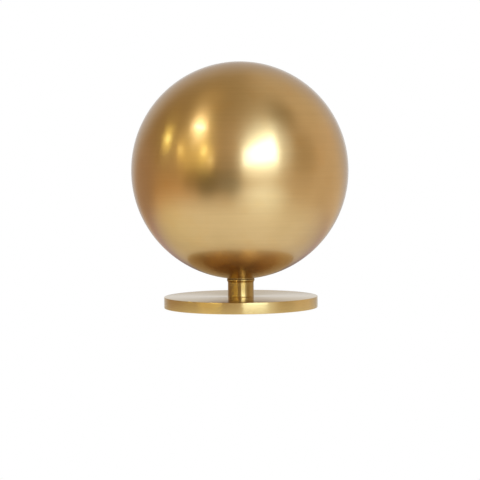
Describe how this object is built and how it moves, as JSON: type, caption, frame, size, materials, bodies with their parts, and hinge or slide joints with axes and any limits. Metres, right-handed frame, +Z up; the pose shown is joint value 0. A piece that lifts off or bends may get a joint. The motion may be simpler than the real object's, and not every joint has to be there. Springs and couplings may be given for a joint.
{
  "type": "ball knob",
  "caption": "Satin brass ball screwed to a short turned neck on a thin round base disc, for use as a fixed knob or a finial.",
  "frame": {"origin": "centre of the underside, on the surface the object stands on", "axes": "+Z up along the turning axis of the ball, neck and disc; X and Y are level and alike"},
  "size_m": [0.1, 0.1, 0.1133],
  "materials": {
    "ball_brass": "satin, brushed round the vertical axis",
    "neck_brass": "fine turned",
    "disc_brass": "fine turned face and rim",
    "inner_brass": "dull, as cut",
    "washer": "matt vulcanised fibre",
    "pad": "pressed felt"
  },
  "bodies": {
    "base": {"base_disc": "disc_brass", "base_pad": "pad", "neck": "neck_brass"},
    "washer": {"seat_washer": "washer"},
    "ball": {"ball_upper_shell": "ball_brass", "ball_lower_shell": "ball_brass", "seam_ring": "inner_brass", "ball_boss": "neck_brass"}
  },
  "joints": [
    {"name": "ball_turn", "type": "hinge", "parent": "base", "child": "washer", "pos_m": [0, 0, 0.0133], "axis": [0, 0, 1], "range_deg": [0, 2520]},
    {"name": "ball_rise", "type": "slide", "parent": "washer", "child": "ball", "axis": [0, 0, 1], "range_m": [0, 0.00876]}
  ],
  "couplings": [
    {"joint": "ball_rise", "follows": "ball_turn", "m_per_rad": 0.00019894}
  ]
}
